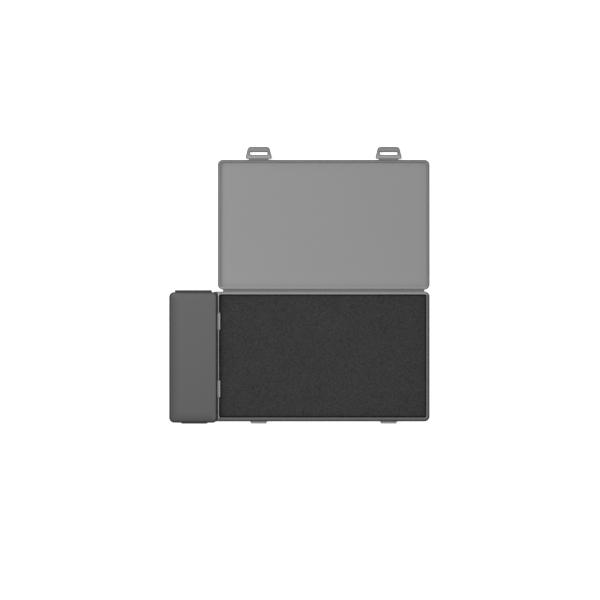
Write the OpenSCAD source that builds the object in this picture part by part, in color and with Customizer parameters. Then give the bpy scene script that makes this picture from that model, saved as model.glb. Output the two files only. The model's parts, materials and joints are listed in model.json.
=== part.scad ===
// Wet palette: a shallow tray with a damp foam pad, a lid on a moulded film hinge with two
// film-hinged latches, and a lidded side box clipped to the tray's left wall.
// X runs along the long front, Y from the front to the hinge, Z up from the table.

/* [Tray] */
// Outside width of the tray at its rim
tray_w = 211.5; // [170:0.5:280]
// Outside depth of the tray, from front rim to hinge rim
tray_d = 129.6; // [100:0.2:180]
// Height of the rim above the table
tray_h = 19; // [18:0.5:26]
// Thickness of the tray's front, back and right walls
tray_wall = 2; // [1.6:0.1:2.4]
// Thickness of the left wall, which carries the side box
dock_wall = 1.3; // [1:0.1:2]
// Thickness of the floors of tray and side box
floor_t = 1.6; // [1.2:0.1:2.4]
// Width of the rim on the right
rim_right = 3.4; // [2.6:0.1:5]
// Width of the rim along the hinge
rim_back = 2.8; // [2.6:0.1:5]
// Width of the rim along the front
rim_front = 4.2; // [2.6:0.1:5]
// Depth of the lip under the rim
lip_h = 2.5; // [1.6:0.1:3]
// Radius of the rim's two right corners
tray_corner_r = 5; // [4:0.5:9]
// Radius along the bottom edges of tray and side box
base_edge_r = 1.2; // [0.6:0.1:1.5]

/* [Foam pad] */
// Depth of the pad's top face below the rim
well_depth = 5.1; // [4.4:0.1:8]
// Gap between the pad and the walls round it
foam_gap = 0.3; // [0.1:0.1:1]
// Radius of the pad's upright corners
foam_corner_r = 1; // [0.5:0.1:3]

/* [Lid] */
// Height of the lid
lid_h = 7.5; // [6:0.5:14]
// Thickness of the lid's side walls
lid_wall = 2.3; // [1.6:0.1:3]
// Thickness of the lid's panel
lid_top = 1.8; // [1.2:0.1:2.5]
// Radius of the lid's upright corners
lid_corner_r = 5; // [4.5:0.5:9]
// Radius along the lid's outer top edge
lid_edge_r = 2.4; // [1:0.2:3]
// Gap between the closed rims
seat_gap = 0.1; // [0.06:0.02:0.3]

/* [Film hinges] */
// Width of the main hinge, across the fold
film_w = 2.6; // [2:0.1:4]
// Distance from the tray's sides to the ends of the main hinge
main_film_inset = 5.25; // [5:0.25:40]
// Distance from the side box's sides to the ends of its hinge
side_film_inset = 5.7; // [5:0.1:14]
// Thickness of every film hinge
film_t = 0.4; // [0.3:0.05:0.5]
// Gap at the fold line, on each side of it
fold_gap = 0.1; // [0.06:0.02:0.2]

/* [Latches] */
// Distance from the tray's sides to the middle of each latch
latch_inset = 40.85; // [22:0.05:60]
// Width of the film hinge that carries a latch, across the fold
latch_film_w = 1.4; // [1.2:0.1:2.4]
// Length of that film hinge, along the fold
latch_film_l = 19.9; // [12:0.1:22]
// Reach of a latch from its fold line to its tip
latch_reach = 12.4; // [11.4:0.1:16]
// Greatest width of a latch, near its root
latch_root_w = 26.2; // [24:0.1:34]
// Width of a latch at its tip, before its corners are rounded
latch_tip_w = 21.1; // [19:0.1:24]
// Thickness of a latch
latch_t = 2; // [1.6:0.1:2.4]
// Radius of a latch's tip corners
latch_tip_r = 2.5; // [1:0.1:3]
// Radius of a latch's root corners
latch_root_r = 0.9; // [0.3:0.1:1.2]
// Width of the slot in a latch
slot_w = 17.5; // [14:0.1:17.8]
// Length of the slot, from root to tip
slot_l = 2.9; // [2.6:0.1:3.6]
// Distance from a latch's fold line to its slot
slot_from_fold = 4; // [3.4:0.1:4.6]
// Gap between a catch and the slot it passes through
catch_gap = 0.3; // [0.25:0.05:0.5]
// Distance that a catch stands out past the rim
catch_out = 2.2; // [1.5:0.1:2.6]
// Narrowing of a catch, on each side, from wall to tip
catch_taper = 0.7; // [0:0.1:1.5]

/* [Side box] */
// Outside width of the side box
box_w = 48.2; // [44:0.2:80]
// Distance of the side box's back wall in front of the tray's hinge rim
box_setback = 0.5; // [0:0.1:2]
// Distance that the side box stands out past the tray's front rim
box_overhang = 1.3; // [0:0.1:4]
// Thickness of the side box's walls
box_wall = 2; // [1.4:0.1:3]
// Thickness of the plate that docks against the tray
dock_plate_t = 3.4; // [2.4:0.1:5]
// Radius of the side box's upright corners
box_corner_r = 5; // [4.5:0.5:9]
// Gap between the side box and the tray
dock_gap = 0.25; // [0.15:0.05:0.5]

/* [Side lid] */
// Height of the side lid
side_lid_h = 7.5; // [6:0.5:14]
// Thickness of the side lid's walls
side_lid_wall = 1.8; // [1.4:0.1:3]
// Thickness of the side lid's top
side_lid_top = 1.8; // [1.2:0.1:2.5]
// Radius along the side lid's top edge
side_lid_edge_r = 2; // [1:0.2:3]
// Width of the thumb tab
tab_w = 26; // [14:0.5:34]
// Distance that the thumb tab stands out
tab_out = 1; // [0.6:0.1:4]
// Thickness of the thumb tab
tab_t = 2; // [1.2:0.1:3]

/* [Dock clips] */
// Width of a dock clip, along the wall
clip_w = 16.8; // [10:0.2:24]
// Distance from the hinge rim to the middle of the rear clip
clip_inset_rear = 29.6; // [14:0.2:36]
// Distance from the front rim to the middle of the front clip
clip_inset_front = 32.4; // [14:0.2:36]
// Thickness of a clip
clip_t = 1.3; // [1:0.1:1.6]
// Gap between a clip and the walls it grips
clip_gap = 0.15; // [0.1:0.05:0.3]
// Gap between the clip's leg inside the tray and the foam pad below it
clip_foam_gap = 0.5; // [0.3:0.1:1]
// Reach of the clip's leg down inside the side box
clip_leg_out = 9; // [4:0.5:14]

/* [Hidden] */

$fn = 64;
eps = 1;                              // how far a cutter runs past the face it opens

smoke = [0.36, 0.36, 0.37];
smoke_light = [0.5, 0.5, 0.51];
smoke_dark = [0.28, 0.28, 0.29];
foam_black = [0.07, 0.07, 0.075];

// Tray: the inside of the well, which the walls and the rim both follow
tray_x = tray_w / 2;
tray_y = tray_d / 2;
well_x0 = -tray_x + dock_wall;
well_x1 = tray_x - rim_right;
well_y0 = -tray_y + rim_front;
well_y1 = tray_y - rim_back;
well_corner_r = max(tray_corner_r - rim_right, foam_corner_r);

// Hinges: both lids fold on one line, half a seat gap above the rim
hinge_y = tray_y + film_w / 2;
hinge_z = tray_h + seat_gap / 2;
lid_z = tray_h + seat_gap;
main_film_l = tray_w - 2 * max(main_film_inset, lid_corner_r, tray_corner_r);
side_film_l = box_w - 2 * max(side_film_inset, box_corner_r);

// Lid: it lies back past flat until its far top edge meets the table
lid_reach = hinge_y + tray_y - lid_edge_r;
lid_drop = lid_h + seat_gap / 2 - lid_edge_r;
lid_droop = asin((hinge_z - lid_edge_r) / norm([lid_reach, lid_drop])) - atan2(lid_drop, lid_reach);

// Latches: the fold line lies in the lid's rim plane, just past its front edge
latch_x = tray_x - latch_inset;
latch_fold_y = -tray_y - latch_film_w / 2;
latch_root = latch_film_w / 2;
latch_slope = atan2((latch_root_w - latch_tip_w) / 2, latch_reach - latch_root);
latch_tip_cx = latch_tip_w / 2 - latch_tip_r * (1 - sin(latch_slope)) / cos(latch_slope);
latch_root_cx = latch_root_w / 2 - latch_root_r * (1 + sin(latch_slope)) / cos(latch_slope);

// Catches: they stand in the slots of the closed latches
catch_w = slot_w - 2 * catch_gap;
catch_z1 = lid_z - slot_from_fold - catch_gap;
slot_end = slot_from_fold + slot_l;
catch_z0 = lid_z - sqrt(pow(slot_end, 2) - pow(catch_out - latch_root, 2)) + catch_gap;

// Side box: its right face stands a dock gap from the tray
box_x1 = -tray_x - dock_gap;
box_x0 = box_x1 - box_w;
box_mid_x = (box_x0 + box_x1) / 2;
box_y1 = tray_y - box_setback;
box_y0 = -tray_y - box_overhang;
plate_x0 = box_x1 - dock_plate_t;

// Dock clips: a bridge over both walls with a leg down each side
clip_x1 = well_x0 + clip_gap + clip_t;
clip_x0 = plate_x0 - clip_gap - clip_t;
clip_leg_in = well_depth - clip_foam_gap;
clip_rear_y = tray_y - clip_inset_rear;
clip_front_y = -tray_y + clip_inset_front;

// Quarter profile from a corner's axis outwards, with its lower outer edge rounded
module edge_profile(reach, h, edge_r) {
    difference() {
        square([reach, h]);
        translate([reach - edge_r, 0]) difference() {
            square(edge_r);
            translate([0, edge_r]) circle(edge_r);
        }
    }
}

// Block with round upright corners and a round lower edge, standing on z = 0
module round_block(x0, x1, y0, y1, h, corner_r, edge_r) {
    len_x = x1 - x0 - 2 * corner_r;
    len_y = y1 - y0 - 2 * corner_r;
    translate([(x0 + x1) / 2, (y0 + y1) / 2, 0]) {
        translate([-len_x / 2, -len_y / 2, 0]) cube([len_x, len_y, h]);
        for (turn = [0, 180]) {
            rotate([0, 0, turn]) {
                translate([len_x / 2, len_y / 2, 0])
                    rotate([90, 0, 0]) linear_extrude(len_y) edge_profile(corner_r, h, edge_r);
                translate([-len_x / 2, len_y / 2, 0])
                    rotate([90, 0, 90]) linear_extrude(len_x) edge_profile(corner_r, h, edge_r);
                translate([len_x / 2, len_y / 2, 0])
                    rotate_extrude(angle = 90) edge_profile(corner_r, h, edge_r);
                translate([-len_x / 2, len_y / 2, 0])
                    rotate([0, 0, 90]) rotate_extrude(angle = 90) edge_profile(corner_r, h, edge_r);
            }
        }
    }
}

// The same block hanging below z = h, with the round edge on top
module round_cap(x0, x1, y0, y1, h, corner_r, edge_r) {
    translate([0, 0, h]) mirror([0, 0, 1]) round_block(x0, x1, y0, y1, h, corner_r, edge_r);
}

// Hollow cap for a lid: open below, round along its top edge
module lid_shell(x0, x1, y0, y1, h, wall, top, corner_r, edge_r) {
    difference() {
        round_cap(x0, x1, y0, y1, h, corner_r, edge_r);
        translate([0, 0, -eps])
            round_cap(x0 + wall, x1 - wall, y0 + wall, y1 - wall, h - top + eps,
                corner_r - wall, min(edge_r, corner_r - wall) / 2);
    }
}

// Rim outline: round corners on the right, square ones where the side box docks
module rim_outline() {
    translate([-tray_x, -tray_y]) square([tray_w - tray_corner_r, tray_d]);
    translate([0, -tray_y + tray_corner_r]) square([tray_x, tray_d - 2 * tray_corner_r]);
    for (y = [-1, 1])
        translate([tray_x - tray_corner_r, y * (tray_y - tray_corner_r)]) circle(tray_corner_r);
}

// One catch on the tray's front, narrower at its tip
module catch(x) {
    root_y = well_y0 - tray_wall / 2;
    translate([x, 0, catch_z0]) linear_extrude(catch_z1 - catch_z0) polygon([
        [-catch_w / 2, root_y],
        [catch_w / 2, root_y],
        [catch_w / 2, -tray_y],
        [catch_w / 2 - catch_taper, -tray_y - catch_out],
        [-catch_w / 2 + catch_taper, -tray_y - catch_out],
        [-catch_w / 2, -tray_y]
    ]);
}

// Space that a clip's bridge takes out of the top of both walls
module clip_notch(y) {
    notch_w = clip_w + 2 * clip_gap;
    translate([clip_x0, y - notch_w / 2, tray_h - clip_t])
        cube([clip_x1 - clip_x0, notch_w, clip_t + eps]);
}

module main_tray() {
    color(smoke) {
        difference() {
            union() {
                round_block(well_x0 - dock_wall, well_x1 + tray_wall, well_y0 - tray_wall,
                    well_y1 + tray_wall, tray_h - lip_h, well_corner_r + tray_wall, base_edge_r);
                translate([0, 0, tray_h - lip_h]) linear_extrude(lip_h) rim_outline();
            }
            translate([0, 0, floor_t])
                round_block(well_x0, well_x1, well_y0, well_y1, tray_h, well_corner_r,
                    well_corner_r / 2);
            clip_notch(clip_rear_y);
            clip_notch(clip_front_y);
        }
        catch(-latch_x);
        catch(latch_x);
    }
}

module foam_pad() {
    color(foam_black) translate([0, 0, floor_t])
        round_block(well_x0 + foam_gap, well_x1 - foam_gap, well_y0 + foam_gap,
            well_y1 - foam_gap, tray_h - floor_t - well_depth, well_corner_r, well_corner_r / 2);
}

module side_box() {
    color(smoke_dark) difference() {
        union() {
            round_block(box_x0, box_x1, box_y0, box_y1, tray_h, box_corner_r, base_edge_r);
            translate([plate_x0, -tray_y, tray_h - lip_h]) cube([dock_plate_t, tray_d, lip_h]);
        }
        translate([0, 0, floor_t])
            round_block(box_x0 + box_wall, plate_x0, box_y0 + box_wall, box_y1 - box_wall,
                tray_h, box_corner_r - box_wall, base_edge_r);
        clip_notch(clip_rear_y);
        clip_notch(clip_front_y);
    }
}

// Clip: bridge, leg inside the tray and longer leg inside the side box
module dock_clip(y) {
    color(smoke_light) translate([0, y + clip_w / 2, 0]) rotate([90, 0, 0]) linear_extrude(clip_w)
        polygon([
            [clip_x0, tray_h],
            [clip_x0, tray_h - clip_leg_out],
            [clip_x0 + clip_t, tray_h - clip_leg_out],
            [clip_x0 + clip_t, tray_h - clip_t],
            [clip_x1 - clip_t, tray_h - clip_t],
            [clip_x1 - clip_t, tray_h - clip_leg_in],
            [clip_x1, tray_h - clip_leg_in],
            [clip_x1, tray_h]
        ]);
}

// Half of a film hinge: a strip that stops short of the fold line
module film_half(x, length, y_root, y_fold, z) {
    translate([x - length / 2, min(y_root, y_fold), z])
        cube([length, abs(y_fold - y_root), film_t]);
}

// Everything on the lid is drawn closed, then laid open about the hinge
module laid_open() {
    translate([0, hinge_y, hinge_z]) rotate([-180 - lid_droop, 0, 0])
        translate([0, -hinge_y, -hinge_z]) children();
}

module main_lid() {
    color(smoke_light) laid_open() translate([0, 0, lid_z])
        lid_shell(-tray_x, tray_x, -tray_y, tray_y, lid_h, lid_wall, lid_top, lid_corner_r,
            lid_edge_r);
}

// Outline of a latch, with its fold line on y = 0 and its tip at +y
module latch_outline() {
    difference() {
        union() {
            polygon([
                [-latch_root_cx, latch_root],
                [latch_root_cx, latch_root],
                [latch_root_cx + latch_root_r * cos(latch_slope),
                    latch_root + latch_root_r * (1 + sin(latch_slope))],
                [latch_tip_cx + latch_tip_r * cos(latch_slope),
                    latch_reach - latch_tip_r * (1 - sin(latch_slope))],
                [latch_tip_cx, latch_reach],
                [-latch_tip_cx, latch_reach],
                [-latch_tip_cx - latch_tip_r * cos(latch_slope),
                    latch_reach - latch_tip_r * (1 - sin(latch_slope))],
                [-latch_root_cx - latch_root_r * cos(latch_slope),
                    latch_root + latch_root_r * (1 + sin(latch_slope))]
            ]);
            for (side = [-1, 1]) {
                translate([side * latch_tip_cx, latch_reach - latch_tip_r]) circle(latch_tip_r);
                translate([side * latch_root_cx, latch_root + latch_root_r]) circle(latch_root_r);
            }
        }
        translate([-slot_w / 2, slot_from_fold]) square([slot_w, slot_l]);
    }
}

module latch(x) {
    color(smoke_light) laid_open() translate([x, latch_fold_y, lid_z]) mirror([0, 1, 0])
        linear_extrude(latch_t) latch_outline();
}

module latch_film_lid_half(x) {
    color(smoke_light) laid_open()
        film_half(x, latch_film_l, -tray_y, latch_fold_y + fold_gap, lid_z);
}

module latch_film_tip_half(x) {
    color(smoke_light) laid_open()
        film_half(x, latch_film_l, latch_fold_y - fold_gap, latch_fold_y - latch_root, lid_z);
}

module latch_left() latch(-latch_x);
module latch_right() latch(latch_x);
module latch_hinge_left_lid_half() latch_film_lid_half(-latch_x);
module latch_hinge_right_lid_half() latch_film_lid_half(latch_x);
module latch_hinge_left_tip_half() latch_film_tip_half(-latch_x);
module latch_hinge_right_tip_half() latch_film_tip_half(latch_x);
module dock_clip_rear() dock_clip(clip_rear_y);
module dock_clip_front() dock_clip(clip_front_y);

module main_hinge_tray_half() {
    color(smoke) film_half(0, main_film_l, tray_y, hinge_y - fold_gap, tray_h - film_t);
}

module main_hinge_lid_half() {
    color(smoke) laid_open() film_half(0, main_film_l, tray_y, hinge_y - fold_gap, lid_z);
}

module side_hinge_box_half() {
    color(smoke_dark)
        film_half(box_mid_x, side_film_l, box_y1, hinge_y - fold_gap, tray_h - film_t);
}

module side_hinge_lid_half() {
    color(smoke_dark) film_half(box_mid_x, side_film_l, box_y1, hinge_y - fold_gap, lid_z);
}

module side_lid() {
    color(smoke_dark) translate([0, 0, lid_z]) {
        lid_shell(box_x0, box_x1, box_y0, box_y1, side_lid_h, side_lid_wall, side_lid_top,
            box_corner_r, side_lid_edge_r);
        translate([box_mid_x - tab_w / 2, box_y0 - tab_out, 0])
            cube([tab_w, tab_out + side_lid_wall / 2, tab_t]);
    }
}

main_tray();
foam_pad();
side_box();
dock_clip_rear();
dock_clip_front();
main_hinge_tray_half();
side_hinge_box_half();
main_lid();
main_hinge_lid_half();
latch_hinge_left_lid_half();
latch_hinge_right_lid_half();
latch_left();
latch_hinge_left_tip_half();
latch_right();
latch_hinge_right_tip_half();
side_lid();
side_hinge_lid_half();
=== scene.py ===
import json
import math

import bmesh
import bpy
from mathutils import Matrix, Vector


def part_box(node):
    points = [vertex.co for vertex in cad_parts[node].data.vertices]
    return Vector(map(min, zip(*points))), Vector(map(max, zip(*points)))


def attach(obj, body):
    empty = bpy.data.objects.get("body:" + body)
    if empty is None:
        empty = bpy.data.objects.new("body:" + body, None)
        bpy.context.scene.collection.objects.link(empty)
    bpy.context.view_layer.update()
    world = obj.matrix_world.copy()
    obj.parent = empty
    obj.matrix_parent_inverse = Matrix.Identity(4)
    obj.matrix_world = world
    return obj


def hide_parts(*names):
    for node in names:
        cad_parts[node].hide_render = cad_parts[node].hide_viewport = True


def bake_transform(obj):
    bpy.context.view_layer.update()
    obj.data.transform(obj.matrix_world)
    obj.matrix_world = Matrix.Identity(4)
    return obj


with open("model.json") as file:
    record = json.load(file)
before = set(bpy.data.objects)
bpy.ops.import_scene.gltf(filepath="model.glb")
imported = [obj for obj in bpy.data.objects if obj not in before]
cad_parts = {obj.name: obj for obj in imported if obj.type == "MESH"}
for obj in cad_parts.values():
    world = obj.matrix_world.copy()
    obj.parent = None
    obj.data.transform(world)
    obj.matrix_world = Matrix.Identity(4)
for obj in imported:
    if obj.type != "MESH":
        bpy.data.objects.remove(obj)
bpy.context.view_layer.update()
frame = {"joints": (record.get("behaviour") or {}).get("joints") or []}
scene = bpy.context.scene

mm = 0.001  # sizes are in millimetres, and become metres where they reach Blender
hinges = {joint["name"]: joint for joint in frame["joints"]}


def cadBox(node):
    low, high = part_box(node)
    return [value / mm for value in (low.x, high.x, low.y, high.y, low.z, high.z)]


def pick(values, *keys):
    return [values[key] for key in keys]


def newObject(name, data, material=None, place=(0, 0, 0)):
    made = bpy.data.objects.new(name, data)
    made.location = [value * mm for value in place]
    scene.collection.objects.link(made)
    if material:
        data.materials.clear()
        data.materials.append(material)
    return made


def feed(node, values):
    # sets a node's inputs to numbers or colours, or links the outputs of other nodes to them
    for slot, value in values.items():
        if isinstance(value, bpy.types.NodeSocket):
            node.id_data.links.new(value, node.inputs[slot])
        else:
            node.inputs[slot].default_value = value
    return node


# camera, floor and lights

studio = {
    "lookAt": (-23.57, 56.41),  # middle of the view, on the table
    "cameraHeight": 15000,
    "viewWidth": 599.2,  # seen at the height of the rims
    "rimHeight": 19,
    "sensorWidth": 36,
    "floorSize": 24000,
    "floorGrey": 0.8,
    "floorGlow": 0.75,
    "bounceGrey": 0.38,  # what the plastic gets back from the table
    "keyPlace": (-750, 330, 1800),
    "keySize": 1000,
    "keyPower": 20,
    "overhead": 0.8,  # brightness of the room straight above
    "horizon": 0.2,  # and at the horizon
    "horizonTop": 0.15,  # how far up the horizon's brightness reaches
}


def makeCamera():
    camera = bpy.data.cameras.new("topCamera")
    distance = studio["cameraHeight"] - studio["rimHeight"]
    camera.sensor_width = studio["sensorWidth"]
    camera.lens = studio["sensorWidth"] * distance / studio["viewWidth"]
    camera.clip_end = 100
    place = (*studio["lookAt"], studio["cameraHeight"])
    scene.camera = newObject("topCamera", camera, place=place)


def mixShader(tree, factor, first, second):
    return feed(tree.nodes.new("ShaderNodeMixShader"), {0: factor, 1: first, 2: second}).outputs[0]


def makeFloor():
    half = studio["floorSize"] * mm / 2
    mesh = bpy.data.meshes.new("floor")
    corners = [(-half, -half, 0), (half, -half, 0), (half, half, 0), (-half, half, 0)]
    mesh.from_pydata(corners, [], [(0, 1, 2, 3)])
    material = bpy.data.materials.new("paleFloor")
    material.use_nodes = True
    tree = material.node_tree
    tree.nodes.clear()
    lit, bounced = [
        feed(tree.nodes.new("ShaderNodeBsdfDiffuse"), {"Color": (grey, grey, grey, 1)}).outputs[0]
        for grey in pick(studio, "floorGrey", "bounceGrey")
    ]
    glow = feed(tree.nodes.new("ShaderNodeEmission"), {"Strength": studio["floorGlow"]})
    seen = feed(tree.nodes.new("ShaderNodeAddShader"), {0: lit, 1: glow.outputs[0]})
    path = tree.nodes.new("ShaderNodeLightPath")
    behind = tree.nodes.new("ShaderNodeNewGeometry")
    clear = tree.nodes.new("ShaderNodeBsdfTransparent")  # the table can be looked through from below
    table = mixShader(tree, path.outputs["Is Camera Ray"], bounced, seen.outputs[0])
    table = mixShader(tree, behind.outputs["Backfacing"], table, clear.outputs[0])
    feed(tree.nodes.new("ShaderNodeOutputMaterial"), {"Surface": table})
    floor = newObject("floor", mesh, material)


def makeLights():
    key = bpy.data.lights.new("softKey", "AREA")
    key.shape = "DISK"
    key.size = studio["keySize"] * mm
    key.energy = studio["keyPower"]
    holder = newObject("softKey", key, place=studio["keyPlace"])
    holder.rotation_euler = (-holder.location).to_track_quat("-Z", "Y").to_euler()
    holder.visible_camera = False
    world = bpy.data.worlds.new("softRoom")
    world.use_nodes = True
    tree = world.node_tree
    direction = tree.nodes.new("ShaderNodeTexCoord").outputs["Generated"]
    parts = feed(tree.nodes.new("ShaderNodeSeparateXYZ"), {0: direction})
    height = tree.nodes.new("ShaderNodeMapRange")
    height.interpolation_type = "SMOOTHSTEP"
    feed(height, {
        "Value": parts.outputs["Z"], "From Min": studio["horizonTop"],
        "To Min": studio["horizon"], "To Max": studio["overhead"],
    })
    room = feed(tree.nodes["Background"], {"Color": (1, 1, 1, 1), "Strength": height.outputs[0]})
    sky = tree.nodes.new("ShaderNodeBackground")  # what the camera sees past the floor
    path = tree.nodes.new("ShaderNodeLightPath")
    seen = mixShader(tree, path.outputs["Is Camera Ray"], room.outputs[0], sky.outputs[0])
    feed(tree.nodes["World Output"], {"Surface": seen})
    scene.world = world


makeCamera()
makeFloor()
makeLights()
scene.view_settings.view_transform = "Standard"
print("camera, floor and lights are up")

# node helpers


def socketKind(value):
    if isinstance(value, str):
        return value
    if isinstance(value, tuple):
        return "Color" if len(value) == 4 else "Vector"
    return "Int" if isinstance(value, int) else "Float"


def socketTree(name, kind, inputs, outputs):
    # an input is given by its first value, or by its kind where it has none
    tree = bpy.data.node_groups.new(name, kind)
    for label, value in inputs.items():
        socketType = "NodeSocket" + socketKind(value)
        socket = tree.interface.new_socket(label, in_out="INPUT", socket_type=socketType)
        if not isinstance(value, str):
            socket.default_value = value
    for label, value in outputs.items():
        tree.interface.new_socket(label, in_out="OUTPUT", socket_type="NodeSocket" + value)
    return tree, tree.nodes.new("NodeGroupInput"), tree.nodes.new("NodeGroupOutput")


def mathNode(tree, operation, first, second, clamp=False):
    node = tree.nodes.new("ShaderNodeMath")
    node.operation = operation
    node.use_clamp = clamp
    return feed(node, {0: first, 1: second}).outputs[0]


def swing(tree, value, middle, amount, clamp=False):
    # how far a value is from its middle, times an amount
    return mathNode(tree, "MULTIPLY", mathNode(tree, "SUBTRACT", value, middle), amount, clamp)


def scaleNode(tree, vector, factor):
    node = tree.nodes.new("ShaderNodeVectorMath")
    node.operation = "SCALE"
    return feed(node, {0: vector, "Scale": factor}).outputs[0]


def textureNode(tree, kind, values):
    # a procedural texture on the object's own coordinates
    place = tree.nodes.new("ShaderNodeTexCoord").outputs["Object"]
    return feed(tree.nodes.new(kind), {"Vector": place, **values})


def noiseNode(tree, scale, detail):
    return textureNode(tree, "ShaderNodeTexNoise", {"Scale": scale, "Detail": detail}).outputs[0]


def bumpNode(tree, height, strength, depth, invert=False):
    node = tree.nodes.new("ShaderNodeBump")
    node.invert = invert
    return feed(node, {"Height": height, "Strength": strength, "Distance": depth * mm}).outputs[0]


# shared shader groups


def mouldGrainGroup():
    # the fine spark-eroded texture of a mould, with slow waves under it
    tree, given, made = socketTree(
        "mouldGrain", "ShaderNodeTree",
        {"Grain Scale": 2200.0, "Wave Scale": 40.0, "Wave Share": 0.3},
        {"Height": "Float", "Grain": "Float"},
    )
    grain = noiseNode(tree, given.outputs["Grain Scale"], 2)
    wave = noiseNode(tree, given.outputs["Wave Scale"], 1)
    waved = mathNode(tree, "MULTIPLY", wave, given.outputs["Wave Share"])
    feed(made, {"Height": mathNode(tree, "ADD", grain, waved), "Grain": grain})
    return tree


def smokeAndPaintedLightGroup():
    # smoky plastic: its grey, clouded where the melt flowed, times the tone of its region, which is
    # painted light and shade, with a painted light falloff along a side
    tree, given, made = socketTree(
        "smokeAndPaintedLight", "ShaderNodeTree",
        {
            "Smoke": (0.12, 0.12, 0.12, 1), "Cloud Scale": 18.0, "Cloud Amount": 0.05,
            "Fall Along X": 0.0, "Fall Along Y": 0.0,
        },
        {"Color": "Color"},
    )
    # the tone attribute carries painted light and shade, set region by region and side by side
    tone = tree.nodes.new("ShaderNodeAttribute")
    tone.attribute_name = "tone"
    cloud = noiseNode(tree, given.outputs["Cloud Scale"], 3)
    clouded = swing(tree, cloud, 0.5, given.outputs["Cloud Amount"])
    place = tree.nodes.new("ShaderNodeTexCoord").outputs["Object"]
    parts = feed(tree.nodes.new("ShaderNodeSeparateXYZ"), {0: place})
    # painted light: the colour falls off along X and along Y
    paintedLightFalls = [
        mathNode(tree, "MULTIPLY", parts.outputs[axis], given.outputs["Fall Along " + axis])
        for axis in ("X", "Y")
    ]
    level = mathNode(tree, "ADD", mathNode(tree, "ADD", clouded, 1.0), mathNode(tree, "ADD", *paintedLightFalls))
    level = mathNode(tree, "MULTIPLY", level, tone.outputs["Fac"])
    feed(made, {"Color": scaleNode(tree, given.outputs["Smoke"], level)})
    return tree


def edgeRubGroup():
    # faint pale rubbing where handled edges stand out, broken up by noise
    tree, given, made = socketTree(
        "edgeRub", "ShaderNodeTree",
        {"Color": (0.1, 0.1, 0.1, 1), "Amount": 0.1, "Patch Scale": 150.0},
        {"Color": "Color", "Rub": "Float"},
    )
    edge = tree.nodes.new("ShaderNodeAttribute")
    edge.attribute_name = "edge"
    patch = noiseNode(tree, given.outputs["Patch Scale"], 4)
    broken = swing(tree, patch, 0.42, 5.0, clamp=True)  # patches with soft borders
    rub = mathNode(tree, "MULTIPLY", edge.outputs["Fac"], broken)
    rub = mathNode(tree, "MULTIPLY", rub, given.outputs["Amount"])
    paleRub = (0.5, 0.5, 0.51, 1)
    mix = tree.nodes.new("ShaderNodeMix")
    mix.data_type = "RGBA"
    feed(mix, {"Factor": rub, "A": given.outputs["Color"], "B": paleRub})
    feed(made, {"Color": mix.outputs["Result"], "Rub": rub})
    return tree


groups = {"grain": mouldGrainGroup(), "smoke": smokeAndPaintedLightGroup(), "rub": edgeRubGroup()}


def placeGroup(tree, group, values):
    node = tree.nodes.new("ShaderNodeGroup")
    node.node_tree = groups[group]
    return feed(node, values)


plasticLook = {
    "grey": 0.12, "ior": 1.49, "gloss": 0.3, "rough": 0.45, "roughSwing": 0.12, "rubRough": 0.5,
    "cloudScale": 16.0, "cloud": 0.05, "fallAlongX": 0.0, "fallAlongY": 0.0,
    "rub": 0.05, "rubScale": 160.0,
    "grainScale": 2000.0, "waveScale": 30.0, "wave": 0.4, "bump": 0.8, "bumpDepth": 0.11,
}


def smokedPlastic(name, **changes):
    look = {**plasticLook, **changes}
    material = bpy.data.materials.new(name)
    material.use_nodes = True
    tree = material.node_tree
    grey = look["grey"]
    smoke = placeGroup(tree, "smoke", {
        "Smoke": (grey, grey, grey * 1.005, 1),
        "Cloud Scale": look["cloudScale"], "Cloud Amount": look["cloud"],
        "Fall Along X": look["fallAlongX"], "Fall Along Y": look["fallAlongY"],
    })
    rub = placeGroup(tree, "rub", {
        "Color": smoke.outputs["Color"], "Amount": look["rub"], "Patch Scale": look["rubScale"],
    })
    grain = placeGroup(tree, "grain", {
        "Grain Scale": look["grainScale"], "Wave Scale": look["waveScale"], "Wave Share": look["wave"],
    })
    grained = mathNode(tree, "MULTIPLY", grain.outputs["Grain"], look["roughSwing"])
    rubbed = mathNode(tree, "MULTIPLY", rub.outputs["Rub"], look["rubRough"])
    feed(tree.nodes["Principled BSDF"], {
        "IOR": look["ior"], "Specular IOR Level": look["gloss"],
        "Base Color": rub.outputs["Color"],
        "Roughness": mathNode(tree, "ADD", mathNode(tree, "ADD", grained, look["rough"]), rubbed),
        "Normal": bumpNode(tree, grain.outputs["Height"], look["bump"], look["bumpDepth"]),
    })
    return material


trayPlastic = smokedPlastic("smokedTrayPlastic")
# painted light: the lid darkens towards +X and the side box lightens towards the back
lidPlastic = smokedPlastic("smokedLidPlastic", cloudScale=11.0, fallAlongX=-0.22)
boxPlastic = smokedPlastic("smokedBoxPlastic", grey=0.0905, cloudScale=20.0, fallAlongY=1.0)
filmPlastic = smokedPlastic("foldedFilmPlastic", rough=0.5, grainScale=900.0, rub=0.12, rubScale=400.0)
clipPlastic = smokedPlastic("clipPlastic", grey=0.30, rough=0.4, cloud=0.03)
print("materials are mixed")

# mesh helpers

smallestRadius = 0.12
sharpAngle = 38
plateWeld = 0.002
carveWeld = 0.001


def outline(edges, radii, steps):
    # rounded rectangle, anticlockwise from the front right corner, each point with its outward direction
    x0, x1, y0, y1 = edges
    corners = ((x1, y0, -90, -1, 1), (x1, y1, 0, -1, -1), (x0, y1, 90, 1, -1), (x0, y0, 180, 1, 1))
    points = []
    for (x, y, start, inX, inY), radius in zip(corners, radii):
        for step in range(steps + 1):
            angle = math.radians(start + 90 * step / steps)
            across, along = math.cos(angle), math.sin(angle)
            place = (x + inX * radius + radius * across, y + inY * radius + radius * along)
            points.append((*place, across, along))
    return points


def sideBlend(value, across, along):
    # one number for all round, or one each for the left, right, front and back
    if isinstance(value, (int, float)):
        return value
    left, right, front, back = value
    return (left if across < 0 else right) * across ** 2 + (front if along < 0 else back) * along ** 2


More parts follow.
